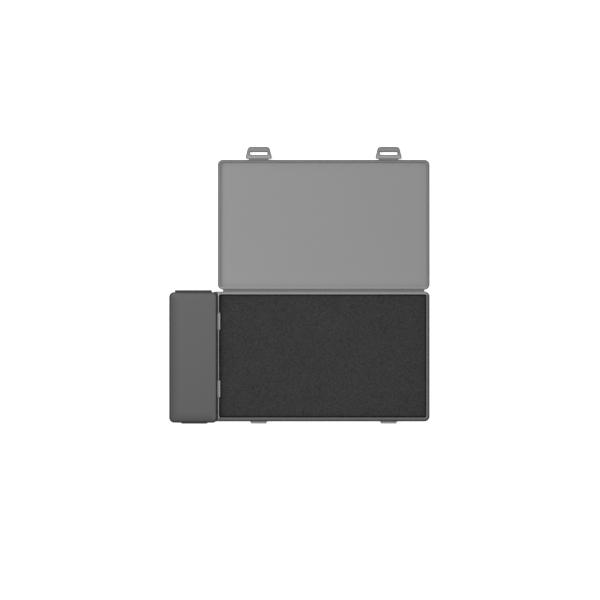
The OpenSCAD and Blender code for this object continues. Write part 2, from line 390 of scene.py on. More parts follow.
def ring(edges, radii, inset, z, tone=1.0, edge=0.0):
    # a level of a shell: its rectangle drawn in by inset, one number or one a side, at height z
    x0, x1, y0, y1 = edges
    left, right, front, back = (inset,) * 4 if isinstance(inset, (int, float)) else inset
    corners = (max(right, front), max(right, back), max(left, back), max(left, front))
    return {
        "edges": (x0 + left, x1 - right, y0 + front, y1 - back),
        "radii": [max(radius - corner, smallestRadius) for radius, corner in zip(radii, corners)],
        "z": z, "tone": tone, "edge": edge,
    }


def rings(edges, radii, rows):
    # a row is an inset and a height, then the tone, which is painted light and shade, and the edge rubbing
    # where they aren't 1 and 0
    return [ring(edges, radii, *row) for row in rows]


def ringBetween(inner, outer, share, tone):
    # a level on the flat between two others
    mixed = {
        key: [a + (b - a) * share for a, b in zip(inner[key], outer[key])]
        for key in ("edges", "radii")
    }
    return {**mixed, "z": outer["z"], "tone": tone, "edge": 0.1}


def roundOver(start, end, steps, leaving, *look):
    # rows on a quarter round between two (inset, z) places, which leaves the first upright or flat
    rows = []
    for step in range(1, steps):
        angle = math.pi / 2 * step / steps
        near, far = math.sin(angle), 1 - math.cos(angle)
        insetShare, zShare = (far, near) if leaving == "upright" else (near, far)
        inset = start[0] + (end[0] - start[0]) * insetShare
        rows.append((inset, start[1] + (end[1] - start[1]) * zShare, *look))
    return rows


def arc(x, y, radius, start, end, steps):
    angles = [math.radians(start + (end - start) * step / steps) for step in range(steps + 1)]
    return [(x + radius * math.cos(angle), y + radius * math.sin(angle)) for angle in angles]


def markSharp(bm, limit=sharpAngle):
    for face in bm.faces:
        face.smooth = True
    for side in bm.edges:
        side.smooth = not (len(side.link_faces) == 2 and side.calc_face_angle(0) > math.radians(limit))


def finishMesh(bm, name, limit=sharpAngle):
    bmesh.ops.recalc_face_normals(bm, faces=bm.faces)
    markSharp(bm, limit)
    mesh = bpy.data.meshes.new(name)
    bm.to_mesh(mesh)
    bm.free()
    return mesh


def skinMesh(name, loops, limit=sharpAngle):
    # a closed skin over loops of (x, y, z, tone, edge) points, with a face at each end
    bm = bmesh.new()
    toneLayer = bm.verts.layers.float.new("tone")
    edgeLayer = bm.verts.layers.float.new("edge")
    rows = []
    for loop in loops:
        rows.append([])
        for x, y, z, tone, edge in loop:
            vertex = bm.verts.new((x * mm, y * mm, z * mm))
            vertex[toneLayer], vertex[edgeLayer] = tone, edge
            rows[-1].append(vertex)
    for low, high in zip(rows, rows[1:]):
        for place in range(len(low)):
            after = (place + 1) % len(low)
            bm.faces.new((low[place], low[after], high[after], high[place]))
    bm.faces.new(rows[0][::-1])
    bm.faces.new(rows[-1])
    return finishMesh(bm, name, limit)


def loftMesh(name, levels, steps=8):
    loops = []
    for level in levels:
        z, tone, edge = level["z"], level["tone"], level["edge"]
        points = outline(level["edges"], level["radii"], steps)
        loops.append([(x, y, z, sideBlend(tone, *out), sideBlend(edge, *out)) for x, y, *out in points])
    return skinMesh(name, loops)


def plainMesh(piece):
    depsgraph = bpy.context.evaluated_depsgraph_get()
    return bpy.data.meshes.new_from_object(piece.evaluated_get(depsgraph))


def plateMesh(name, outlines, thickness, rounding, tone, rimTone, roundSteps=3, shade=0.0, shadeTone=1.0):
    # a plate with rounded edges: the first outline is its edge and the others are holes, and its
    # faces can have a band of painted shade, another tone, along their edges, shade wide
    curve = bpy.data.curves.new(name, "CURVE")
    curve.dimensions = "2D"
    curve.fill_mode = "BOTH"
    for points in outlines:
        spline = curve.splines.new("POLY")
        spline.points.add(len(points) - 1)
        for place, (x, y) in enumerate(points):
            spline.points[place].co = (x * mm, y * mm, 0, 1)
        spline.use_cyclic_u = True
    curve.extrude = (thickness / 2 - rounding) * mm
    curve.bevel_depth = rounding * mm
    curve.bevel_resolution = roundSteps
    curve.offset = -rounding * mm
    holder = newObject(name, curve)
    mesh = plainMesh(holder)
    bpy.data.objects.remove(holder)
    bm = bmesh.new()
    bm.from_mesh(mesh)
    bpy.data.meshes.remove(mesh)
    bmesh.ops.remove_doubles(bm, verts=bm.verts, dist=plateWeld * mm)
    toneLayer = bm.verts.layers.float.new("tone")
    edgeLayer = bm.verts.layers.float.new("edge")
    for vertex in bm.verts:
        onFace = abs(vertex.co.z) > (thickness / 2 - 0.02) * mm
        vertex[toneLayer] = (shadeTone if shade else tone) if onFace else rimTone
        vertex[edgeLayer] = 0.2 if onFace else 1.0
    for side in (1, -1) if shade else ():
        flat = [face for face in bm.faces if face.normal.z * side > 0.99]
        bmesh.ops.inset_region(bm, faces=flat, thickness=shade * mm, use_even_offset=True)
        for vertex in {vertex for face in flat for vertex in face.verts}:
            vertex[toneLayer] = tone
    return finishMesh(bm, name)


def bakeModifiers(piece):
    mesh = plainMesh(piece)
    piece.modifiers.clear()
    piece.data = mesh
    mesh.name = piece.name
    return piece


def carve(piece, cutter, operation):
    # cuts or joins one solid with another, and keeps the result as a plain mesh
    step = piece.modifiers.new("carve", "BOOLEAN")
    step.object = cutter
    step.operation = operation
    step.solver = "EXACT"
    bakeModifiers(piece)
    bpy.data.objects.remove(cutter)
    bm = bmesh.new()
    bm.from_mesh(piece.data)
    bmesh.ops.remove_doubles(bm, verts=bm.verts, dist=carveWeld * mm)
    bmesh.ops.dissolve_degenerate(bm, edges=bm.edges, dist=carveWeld / 2 * mm)
    markSharp(bm)
    bm.to_mesh(piece.data)
    bm.free()
    return piece


def addModifier(piece, tree, values):
    modifier = piece.modifiers.new(tree.name, "NODES")
    modifier.node_group = tree
    for item in tree.interface.items_tree:
        if item.item_type == "SOCKET" and item.in_out == "INPUT" and item.name in values:
            modifier[item.identifier] = values[item.name]


def endTree(tree, geometry, given, made):
    # each tree ends in real geometry of one material
    real = feed(tree.nodes.new("GeometryNodeRealizeInstances"), {0: geometry})
    finished = feed(tree.nodes.new("GeometryNodeSetMaterial"), {
        "Geometry": real.outputs[0], "Material": given.outputs["Finish"],
    })
    feed(made, {"Geometry": finished.outputs[0]})
    return tree


def repeatTree(name):
    # copies of a part set out from a first place by an equal step
    tree, given, made = socketTree(
        name, "GeometryNodeTree",
        {
            "Geometry": "Geometry", "Count": 2, "First Place": (0.0, 0.0, 0.0),
            "Step": (0.0, 0.0, 0.0), "Finish": "Material",
        },
        {"Geometry": "Geometry"},
    )
    count, firstPlace, step = pick(given.outputs, "Count", "First Place", "Step")
    row = feed(tree.nodes.new("GeometryNodeMeshLine"), {
        "Count": count, "Start Location": firstPlace, "Offset": step,
    })
    copies = feed(tree.nodes.new("GeometryNodeInstanceOnPoints"), {
        "Points": row.outputs[0], "Instance": given.outputs["Geometry"],
    })
    return endTree(tree, copies.outputs[0], given, made)


def repeatPiece(piece, rowName, firstPlace, step):
    addModifier(piece, repeatTree(rowName), {
        "Count": 2, "First Place": tuple(value * mm for value in firstPlace),
        "Step": tuple(value * mm for value in step), "Finish": piece.data.materials[0],
    })
    return bakeModifiers(piece)


# tray

tray = {
    "wellWalls": (1.3, 3.4, 4.2, 2.8),  # rim width at the left, right, front and back
    "wellRadius": 1.6,
    "bodyWall": 2.0,
    "rimRadius": 5.0,
    "dockRadius": 0.3,  # the rim's corners beside the side box
    "lipHeight": 2.5,
    "floor": 1.6,
    "floorRound": 0.8,
    "baseRound": 1.2,
    "footInset": 3.0,
    "footDepth": 0.35,
    "innerDrop": 0.3,  # height of the rim's inner round
    "outerDrop": 0.7,
    "innerRound": (0.12, 0.3, 0.35, 0.3),  # at the left, right, front and back, as the tones are
    "outerRound": (0.15, 0.8, 0.8, 0.7),
    # painted light and shade on the rim, one tone a side: lit at the left and back, shaded at the right
    # and front
    "innerTones": (4.4, 0.75, 0.3, 2.25),  # the rim from its inner edge to its outer one
    "crownTones": (4.4, 0.95, 1.08, 2.15),
    "fallTones": (4.4, 0.85, 0.65, 2.15),
    "slopeTones": (4.4, 0.2, 0.2, 1.75),
    "outerTones": (4.0, 0.2, 0.25, 1.4),
    # painted shade on the walls of the well
    "wellTone": 0.55,
    "wallTone": 0.9,
    "baseTone": 0.95,
}
trayX0, trayX1, _, rimY1, _, rimZ = cadBox("main_tray")
rimY0 = -rimY1  # the catches stand further out than the rim
rimEdges = (trayX0, trayX1, rimY0, rimY1)
leftRim, rightRim, frontRim, backRim = tray["wellWalls"]
wellEdges = (trayX0 + leftRim, trayX1 - rightRim, rimY0 + frontRim, rimY1 - backRim)
bodyEdges = (
    trayX0, wellEdges[1] + tray["bodyWall"],
    wellEdges[2] - tray["bodyWall"], wellEdges[3] + tray["bodyWall"],
)


def makeTray():
    top, floorZ, lipZ = rimZ, tray["floor"], rimZ - tray["lipHeight"]
    innerZ, outerZ = top - tray["innerDrop"], top - tray["outerDrop"]
    bend, base, foot, deep = pick(tray, "floorRound", "baseRound", "footInset", "footDepth")
    dark, wall, innerTones, outerTones = pick(tray, "wellTone", "wallTone", "innerTones", "outerTones")
    wellRadii = [tray["wellRadius"]] * 4
    bodyRadii = [tray["wellRadius"] + tray["bodyWall"]] * 4
    rimRadii = (tray["rimRadius"], tray["rimRadius"], tray["dockRadius"], tray["dockRadius"])

    def widths(key, share):
        return [share * size for size in tray[key]]

    inner = ring(wellEdges, wellRadii, widths("innerRound", -1), top, innerTones, 0.5)
    outer = ring(rimEdges, rimRadii, tray["outerRound"], top, tray["slopeTones"], 0.5)
    levels = [
        *rings(wellEdges, wellRadii, [
            (2.0, floorZ, dark), (bend, floorZ, dark),
            *roundOver((bend, floorZ), (0.0, floorZ + bend), 4, "flat", dark),
            (0, floorZ + bend, dark), (0, top - 1.2, dark), (0, innerZ, dark),
            *[(widths("innerRound", -share), z, innerTones, 1)
              for share, z in roundOver((0, innerZ), (1, top), 3, "upright")],
        ]),
        inner,
        ringBetween(inner, outer, 0.3, tray["crownTones"]),
        ringBetween(inner, outer, 0.6, tray["fallTones"]),
        outer,
        *rings(rimEdges, rimRadii, [
            *[(widths("outerRound", share), z, outerTones, 1)
              for share, z in roundOver((1, top), (0, outerZ), 5, "flat")],
            (0, outerZ, outerTones, 0.5), (0, top - 1.1, wall), (0, lipZ + 0.3, wall),
            (0.1, lipZ + 0.08, wall, 0.5), (0.25, lipZ, wall),
        ]),
        *rings(bodyEdges, bodyRadii, [
            (-0.3, lipZ - 0.02, wall), (0, lipZ - 0.35, wall), (0, base, wall),
            *roundOver((0, base), (base, 0), 5, "upright", tray["baseTone"], 1),
            (base, 0, 1, 0.4), (foot, 0), (foot + 0.35, deep), (foot + 1.2, deep),
        ]),
    ]
    for level in levels:  # the dock side has one flush face, so nothing steps in or out of it
        x0, x1, y0, y1 = level["edges"]
        level["edges"] = (max(x0, trayX0), x1, y0, y1)
    return newObject("trayShell", loftMesh("trayShell", levels), trayPlastic)


clips = {
    "thickness": 1.3, "gap": 0.15, "notchRadius": 0.2, "rounding": 0.28, "bend": 1.0,
    "innerEnd": 14.4,  # height of the foot of the leg in the tray
    # tone is painted light on the clips, legTone painted shade on the leg in the tray, notchTone painted
    # shade in the notches
    "tone": 1.65, "legTone": 0.65, "notchTone": 0.7,
}


def notchCutter(node):
    # the room round a clip's bridge, through the top of both walls, its faces in painted shade
    x0, x1, y0, y1, _, z1 = cadBox(node)
    edges = (x0, x1, y0 - clips["gap"], y1 + clips["gap"])
    rows = [(0, z, clips["notchTone"]) for z in (z1 - clips["thickness"], z1 + 1)]
    mesh = loftMesh("notchCutter", rings(edges, [clips["notchRadius"]] * 4, rows), steps=2)
    return newObject("notchCutter", mesh, trayPlastic)


def shadeDockWall(shell):
    # painted light: the cut leaves new points on top of the wall, which take its painted light again
    tones = shell.data.attributes["tone"].data
    for vertex in shell.data.vertices:
        onTop = vertex.co.x < (wellEdges[0] + 0.05) * mm and vertex.co.z > (rimZ - 0.2) * mm
        if onTop and abs(vertex.co.y) < (wellEdges[3] - 3) * mm:
            tones[vertex.index].value = tray["crownTones"][0]


trayShell = makeTray()
for node in ("dock_clip_rear", "dock_clip_front"):
    carve(trayShell, notchCutter(node), "DIFFERENCE")
shadeDockWall(trayShell)
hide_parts("main_tray")
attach(trayShell, "root")

catch = {
    "halfSpacing": 64.9, "width": 16.9, "taper": 0.7, "reach": 2.2, "top": 14.8, "bottom": 12.67,
    # painted light: tone and rimTone lift the catches out of the shade under the rim
    "rounding": 0.35, "tone": 2.9, "rimTone": 2.3,
}


def makeCatches():
    taper, reach, top, bottom, spacing = pick(catch, "taper", "reach", "top", "bottom", "halfSpacing")
    half = catch["width"] / 2
    root = (bodyEdges[2] - rimY0) + 0.6  # runs into the wall behind it
    shape = [
        (half, root), (half, 0), (half - taper, -reach),
        (-half + taper, -reach), (-half, 0), (-half, root),
    ]
    mesh = plateMesh("trayCatches", [shape], top - bottom, *pick(catch, "rounding", "tone", "rimTone"))
    mesh.transform(Matrix.Translation((0, rimY0 * mm, (top + bottom) / 2 * mm)))
    piece = newObject("trayCatches", mesh, trayPlastic)
    return repeatPiece(piece, "catchRow", (-spacing, 0, 0), (2 * spacing, 0, 0))


trayCatches = makeCatches()
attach(trayCatches, "root")
print("tray and catches are made")

# foam pad

foam = {
    "spacing": 0.8,  # of the surface's points
    "sideRows": 9,
    "sideSkin": 0.6,  # how uneven the pad's sides are, next to its top
    "sharpAngle": 70,
    "edgeRound": 0.7,
    "cornerRadius": 1.6,
    "grainSize": 1.9,
    "grainDepth": 0.07,
    "waveSize": 38.0,
    "waveDepth": 0.12,
    "seed": 3.0,
    "grey": 0.0388, "brightness": 1.25, "rough": 0.95, "gloss": 0.15,
    "poreScale": 1150, "poreShade": 0.55, "poreBump": 0.8, "poreDepth": 0.25,
    "speckScale": 620, "speckShade": 1.15,
    "patchScale": 45, "patchShade": 0.18,
}


def foamMaterial():
    material = bpy.data.materials.new("spongeFoam")
    material.use_nodes = True
    tree = material.node_tree
    pores = textureNode(tree, "ShaderNodeTexVoronoi", {"Scale": foam["poreScale"]}).outputs["Distance"]
    pitted = mathNode(tree, "MULTIPLY", pores, foam["poreShade"])
    level = mathNode(tree, "SUBTRACT", foam["brightness"], pitted)
    for kind in ("speck", "patch"):
        noise = noiseNode(tree, foam[kind + "Scale"], 3)
        level = mathNode(tree, "ADD", level, swing(tree, noise, 0.5, foam[kind + "Shade"]))
    feed(tree.nodes["Principled BSDF"], {
        "Base Color": scaleNode(tree, (foam["grey"],) * 3, level),
        "Roughness": foam["rough"], "Specular IOR Level": foam["gloss"],
        "Normal": bumpNode(tree, pores, foam["poreBump"], foam["poreDepth"], invert=True),
    })
    return material


def foamSkinTree():
    # uneven open-cell skin: fine grain and slow waves, which fade out at the underside
    tree, given, made = socketTree(
        "foamSkin", "GeometryNodeTree",
        {
            "Geometry": "Geometry", "Grain Size": 0.002, "Grain Depth": 0.0001,
            "Wave Size": 0.04, "Wave Depth": 0.0001, "Seed": 3.0, "Finish": "Material",
        },
        {"Geometry": "Geometry"},
    )
    noiseTop = 0.75  # noise hardly passes this, so the skin sinks in and doesn't swell out
    heights = []
    for kind in ("Grain", "Wave"):
        noise = tree.nodes.new("ShaderNodeTexNoise")
        noise.noise_dimensions = "4D"
        scale = mathNode(tree, "DIVIDE", 1.0, given.outputs[kind + " Size"])
        feed(noise, {"W": given.outputs["Seed"], "Scale": scale, "Detail": 1})
        heights.append(swing(tree, noise.outputs[0], noiseTop, given.outputs[kind + " Depth"]))
    skin = tree.nodes.new("GeometryNodeInputNamedAttribute")
    skin.data_type = "FLOAT"
    feed(skin, {"Name": "skin"})
    height = mathNode(tree, "MULTIPLY", mathNode(tree, "ADD", *heights), skin.outputs[0])
    normal = tree.nodes.new("GeometryNodeInputNormal").outputs[0]
    move = feed(tree.nodes.new("GeometryNodeSetPosition"), {
        "Geometry": given.outputs["Geometry"], "Offset": scaleNode(tree, normal, height),
    })
    return endTree(tree, move.outputs[0], given, made)


def makeFoam(finish):
    x0, x1, y0, y1, z0, z1 = cadBox("foam_pad")
    radius, edge, sides, spacing = pick(foam, "cornerRadius", "edgeRound", "sideRows", "spacing")
    across, along = round((x1 - x0) / spacing), round((y1 - y0) / spacing)
    bm = bmesh.new()
    skinLayer = bm.verts.layers.float.new("skin")

    def skinPoint(x, y, z, skin):
        vertex = bm.verts.new((x, y, z))
        vertex[skinLayer] = skin
        return vertex

    def settled(x, y):
        # a point of the square grid drawn in to the round corners, and how far inside the edge it is
        cornerX = min(max(x, x0 + radius), x1 - radius)
        cornerY = min(max(y, y0 + radius), y1 - radius)
        if x == cornerX or y == cornerY:
            return x, y, max(min(x - x0, x1 - x, y - y0, y1 - y), 0)
        away = math.hypot(x - cornerX, y - cornerY)
        if away > radius:
            stretch = max(abs(x - cornerX), abs(y - cornerY)) / away
            x, y = cornerX + (x - cornerX) * stretch, cornerY + (y - cornerY) * stretch
        return x, y, max(radius - math.hypot(x - cornerX, y - cornerY), 0)

    rows = []
    for j in range(along + 1):
        rows.append([])
        for i in range(across + 1):
            x, y, inside = settled(x0 + (x1 - x0) * i / across, y0 + (y1 - y0) * j / along)
            drop = edge - math.sqrt(max(edge ** 2 - max(edge - inside, 0) ** 2, 0))
            rows[-1].append(skinPoint(x * mm, y * mm, (z1 - drop) * mm, 1.0))
    for near, far in zip(rows, rows[1:]):
        for i in range(across):
            bm.faces.new((near[i], near[i + 1], far[i + 1], far[i]))
    rightSide, leftSide = [row[-1] for row in rows[:-1]], [row[0] for row in rows[:0:-1]]
    rim = rows[0][:-1] + rightSide + rows[-1][:0:-1] + leftSide
    upper = rim
    for level in range(1, sides + 1):
        z = z1 - edge - (z1 - edge - z0) * level / sides
        skin = foam["sideSkin"] if level < sides else 0.0
        lower = [skinPoint(vertex.co.x, vertex.co.y, z * mm, skin) for vertex in rim]
        for place in range(len(rim)):
            after = (place + 1) % len(rim)
            bm.faces.new((upper[place], lower[place], lower[after], upper[after]))
        upper = lower
    bm.faces.new(upper)
    piece = newObject("foamPad", finishMesh(bm, "foamPad", foam["sharpAngle"]), finish)
    addModifier(piece, foamSkinTree(), {
        "Grain Size": foam["grainSize"] * mm, "Grain Depth": foam["grainDepth"] * mm * 2,
        "Wave Size": foam["waveSize"] * mm, "Wave Depth": foam["waveDepth"] * mm * 2,
        "Seed": foam["seed"], "Finish": finish,
    })
    return bakeModifiers(piece)


foamPad = makeFoam(foamMaterial())
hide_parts("foam_pad")
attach(foamPad, "root")
print("foam pad is made")

# side box

sideBox = {
    "wall": 2.0,
    "floor": 1.6,
    "floorRound": 1.2,
    "radius": 5.0,  # of its lid's corners too
    "innerRound": 0.3,
    "outerRound": 0.4,
    "baseRound": 1.2,
    "footInset": 3.2,
    "footDepth": 0.35,
    # painted shade inside the box (insideTone) and painted light on the dock plate (plateTone)
    "insideTone": 0.8,
    "plateThickness": 3.4,
    "plateHeight": 2.5,
    "plateRadius": 0.6,
    "plateRound": 0.45,
    "plateTone": 1.35,
}
boxX0, boxX1, _, _, _, boxZ = cadBox("side_box")
_, _, tabY0, sideLidY1, sideLidZ0, sideLidZ1 = cadBox("side_lid")
cadTabOut = 1.0  # the thumb tab stands out past the lid
sideLidY0 = tabY0 + cadTabOut
boxEdges = (boxX0, boxX1, sideLidY0, sideLidY1)
boxRadii = [sideBox["radius"]] * 4
plateX0 = boxX1 - sideBox["plateThickness"]
nudge = 0.01  # keeps two faces from lying in one plane


def makeDockPlate():
    top, low = boxZ, boxZ - sideBox["plateHeight"]
    bevel, tone = pick(sideBox, "plateRound", "plateTone")
    edges = (plateX0 + nudge, trayX0 + nudge, rimY0, rimY1)
    levels = rings(edges, [sideBox["plateRadius"]] * 4, [
        (0.5, low), (0.15, low + 0.05), (0, low + 0.3), (0, top - bevel),
        *roundOver((0, top - bevel), (bevel, top), 4, "upright", tone, 1),
        (bevel, top, tone, 0.4), (bevel + 0.3, top, tone),
    ])
    return newObject("dockPlate", loftMesh("dockPlate", levels, steps=3), boxPlastic)


def makeSideBox():
    wall, floorZ, bend, inside = pick(sideBox, "wall", "floor", "floorRound", "insideTone")
    inner, outer, base = pick(sideBox, "innerRound", "outerRound", "baseRound")
    foot, deep, top = *pick(sideBox, "footInset", "footDepth"), boxZ
    innerEdges = (boxX0 + wall, plateX0, sideLidY0 + wall, sideLidY1 - wall)
    levels = [
        *rings(innerEdges, [sideBox["radius"] - wall] * 4, [
            (bend + 1.0, floorZ, inside), (bend, floorZ, inside),
            *roundOver((bend, floorZ), (0, floorZ + bend), 5, "flat", inside),
            (0, floorZ + bend, inside), (0, top - inner, inside),
            *roundOver((0, top - inner), (-inner, top), 3, "upright", 1, 1), (-inner, top, 1, 0.4),
        ]),
        *rings(boxEdges, boxRadii, [
            (outer, top, 1, 0.4), *roundOver((outer, top), (0, top - outer), 3, "flat", 1, 1),
            (0, top - outer), (0, base), *roundOver((0, base), (base, 0), 5, "upright", 1, 1),
            (base, 0), (foot, 0), (foot + 0.3, deep), (foot + 1.0, deep),
        ]),
    ]
    shell = newObject("sideBoxShell", loftMesh("sideBoxShell", levels), boxPlastic)
    carve(shell, makeDockPlate(), "UNION")
    for node in ("dock_clip_rear", "dock_clip_front"):
        carve(shell, notchCutter(node), "DIFFERENCE")
    return shell


sideBoxShell = makeSideBox()
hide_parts("side_box")
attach(sideBoxShell, "root")
print("side box is made")

# dock clips


def makeClips():
    x0, x1, rearY0, rearY1, _, top = cadBox("dock_clip_rear")
    _, _, frontY0, frontY1, outerEnd, _ = cadBox("dock_clip_front")
    innerEnd, thick, bend, tone = pick(clips, "innerEnd", "thickness", "bend", "tone")
    shape = [
        (x0, top), (x0, outerEnd), (x0 + thick, outerEnd), (x0 + thick, top - thick),
        (x1 - thick, top - thick), (x1 - thick, innerEnd), (x1, innerEnd),
        *arc(x1 - bend, top - bend, bend, 0, 90, 5),
    ]
    mesh = plateMesh("dockClips", [shape], rearY1 - rearY0, clips["rounding"], tone, tone)
    tones = mesh.attributes["tone"].data
    # painted shade on the leg that hangs down inside the tray
    for vertex in mesh.vertices:
        if vertex.co.x > (x1 - bend / 2) * mm:
            tones[vertex.index].value = clips["legTone"]
    mesh.transform(Matrix.Rotation(math.radians(90), 4, "X"))
    piece = newObject("dockClips", mesh, clipPlastic)
    rear, front = (rearY0 + rearY1) / 2, (frontY0 + frontY1) / 2
    return repeatPiece(piece, "clipRow", (0, rear, 0), (0, front - rear, 0))


dockClips = makeClips()
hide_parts("dock_clip_rear", "dock_clip_front")
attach(dockClips, "root")
print("dock clips are made")

# main lid

mainLid = {
    "wall": 2.3,
    "rimWidth": 1.5,  # the wall steps in by the rest, to seat over the tray's rim
    "rimRound": 0.45,
    "stepHeight": 0.9,
    "top": 1.8,
    "radius": 5.0,
    "edgeRound": 2.4,
    "innerRound": 1.6,
    # painted light and shade, one tone a side: the panel's edges and inner rounds are lifted where the
    # walls shade them, the rim's rounds lit at the back and shaded at the right and front
    "panelTone": 2.10,
    "panelEdgeTones": (2.14, 2.12, 2.11, 2.17),  # left, right, front and back of the closed lid
    "roundTones": (3.4, 1.95, 2.42, 2.62),
    "rimTones": (2.10, 1.80, 1.80, 2.40),
    "rimEdgeTones": (0.90, 0.35, 0.35, 2.20),
    "outsideTone": 1.0,
}
lidClosedZ = sideLidZ0
lidHeight = sideLidZ1 - sideLidZ0
hingeY, hingeZ = [value / mm for value in hinges["main_lid_hinge"]["pos_m"][1:]]
reach = hingeY - rimY0 - mainLid["edgeRound"]
drop = lidHeight + lidClosedZ - hingeZ - mainLid["edgeRound"]
droop = math.asin((hingeZ - mainLid["edgeRound"]) / math.hypot(reach, drop)) - math.atan2(drop, reach)
layOpen = (
    Matrix.Translation((0, hingeY * mm, hingeZ * mm))
    @ Matrix.Rotation(-math.pi - droop, 4, "X")
    @ Matrix.Translation((0, -hingeY * mm, -hingeZ * mm))
)  # everything on the main lid is drawn closed, then laid back


def makeMainLid():
    z0, z1 = lidClosedZ, lidClosedZ + lidHeight
    under, step = z1 - mainLid["top"], z0 + mainLid["stepHeight"]
    wall, rim, lip, bend, edge = pick(mainLid, "wall", "rimWidth", "rimRound", "innerRound", "edgeRound")
    panel, panelEdge, rounds = pick(mainLid, "panelTone", "panelEdgeTones", "roundTones")
    rims, rimEdge, outside = pick(mainLid, "rimTones", "rimEdgeTones", "outsideTone")
    levels = [
        ring(rimEdges, [9] * 4, 20, under, panel),  # the panel's corners round off towards its middle
        ring(rimEdges, [7] * 4, wall + bend + 4, under, panelEdge),
        *rings(rimEdges, [mainLid["radius"]] * 4, [
            (wall + bend, under, panelEdge),
            *roundOver((wall + bend, under), (wall, under - bend), 6, "flat", rounds),
            (wall, under - bend, rounds), (wall - 0.05, step + 0.1, rounds), (wall - 0.15, step, rims),
            (rim + 0.1, step - 0.02, rims), (rim, step - 0.12, rims), (rim - 0.05, z0 + 0.2, rims),
            (rim - 0.15, z0 + 0.04, rims, 0.6), (rim - 0.3, z0, rims, 0.4), (rim - 0.35, z0, rims, 0.2),
            (lip, z0, rimEdge, 0.4), *roundOver((lip, z0), (0, z0 + lip), 4, "flat", rimEdge, 1),
            (0, z0 + lip, outside), (0, z1 - edge, outside),
            *roundOver((0, z1 - edge), (edge, z1), 8, "upright", outside, 0.8),
            (edge, z1, outside, 0.2), (edge + 1.2, z1, outside),
        ]),
    ]
    mesh = loftMesh("mainLidShell", levels, steps=10)
    mesh.transform(layOpen)
    return newObject("mainLidShell", mesh, lidPlastic)


mainLidShell = makeMainLid()
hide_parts("main_lid")
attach(mainLidShell, "main_lid")
print("main lid is made")

# latches

latch = {
    "inset": 40.85,  # from the lid's side to the middle of a latch
    "foldGap": 1.4,
    "rootFromFold": 0.35,
    "reach": 12.4,
    "rootWidth": 26.9,
    "tipWidth": 21.1,
    "thickness": 2.0,
    "tipRadius": 3.2,
    "rootRadius": 1.6,
    "slotWidth": 17.5,
    "slotLength": 2.9,
    "slotFrom": 4.3,
    "slotRadius": 0.5,
    "rounding": 0.55,
    "tone": 2.60,
    # painted shade: a darker band along the faces' edges, darker rounded edges and darker arms and pull;
    # painted light on the root's edge
    "shadeWidth": 1.0,
    "faceEdgeTone": 1.25,
    "edgeTone": 0.9,
    "armShade": 0.72,
    "rootTone": 2.3,
}
latchX = trayX1 - latch["inset"]
foldY = rimY0 - latch["foldGap"] / 2


def latchOutlines():
    # the edge of a latch and its slot, seen flat with the fold along X
    root, out, wide, narrow = pick(latch, "rootFromFold", "reach", "rootWidth", "tipWidth")
    rootR, tipR, slotR, near = pick(latch, "rootRadius", "tipRadius", "slotRadius", "slotFrom")
    slope = math.atan2((wide - narrow) / 2, out - root)
    tipX = narrow / 2 - tipR * (1 - math.sin(slope)) / math.cos(slope)
    rootX = wide / 2 - rootR * (1 + math.sin(slope)) / math.cos(slope)
    lean = math.degrees(slope)
    right = arc(rootX, root + rootR, rootR, -90, lean, 6) + arc(tipX, out - tipR, tipR, lean, 90, 6)
    edge = right + [(-x, y) for x, y in reversed(right)]
    side, low, high = latch["slotWidth"] / 2 - slotR, near + slotR, near + latch["slotLength"] - slotR
    corners = ((side, low, -90), (side, high, 0), (-side, high, 90), (-side, low, 180))
    slot = [point for x, y, start in corners for point in arc(x, y, slotR, start, start + 90, 3)]
    return [edge, slot]


def makeLatch(name, x):
    thick, rounding, tone, edgeTone = pick(latch, "thickness", "rounding", "tone", "edgeTone")
    shade = min(latch["shadeWidth"], 0.8 * (latch["rootRadius"] - rounding))
    mesh = plateMesh(
        name, latchOutlines(), thick, rounding, tone, edgeTone,
        roundSteps=4, shade=shade, shadeTone=latch["faceEdgeTone"],
    )
    tones = mesh.attributes["tone"].data
    for vertex in mesh.vertices:  # painted shade: the arms and the pull are a little darker than the root, and painted light lifts the root's edge
        if vertex.co.y > (latch["slotFrom"] + 0.2) * mm:
            tones[vertex.index].value *= latch["armShade"]
        elif vertex.co.y < (latch["rootFromFold"] + 0.8) * mm:
            tones[vertex.index].value = latch["rootTone"]
    mesh.transform(Matrix.Rotation(math.pi, 4, "Z"))
    mesh.transform(Matrix.Translation((x * mm, foldY * mm, (lidClosedZ + thick / 2) * mm)))
    mesh.transform(layOpen)
    return newObject(name, mesh, lidPlastic)


for name, node, x in (("latchLeft", "latch_left", -latchX), ("latchRight", "latch_right", latchX)):
    piece = makeLatch(name, x)
    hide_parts(node)
    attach(piece, node)
print("latches are made")

# side lid

sideLid = {
    "wall": 1.8,
    "top": 1.8,
    "edgeRound": 2.0,
    "innerRound": 1.0,
    "crown": 0.12,
    "crownRadius": 9.0,
    "tabWidth": 26.0,
    "tabOut": 1.0,
    "tabShift": 1.0,  # from the middle of the box towards the tray
    "tabThickness": 2.0,
    "tabRadius": 0.6,
    "tabRounding": 0.3,
    "tabTones": (0.30, 0.28),  # of its faces and its edge, painted shade darkening the tab
    "edgeTones": (0.35, 0.3, 0.38, 0.75),  # painted shade on the rounded edge, at the left, right, front and back
    # painted shade fading in from the edge, strongest at the left and front
    "nearEdgeTones": (0.61, 1.0, 0.64, 1.03),
    "insideTone": 1.4,
    "rimTone": 1.1,
}


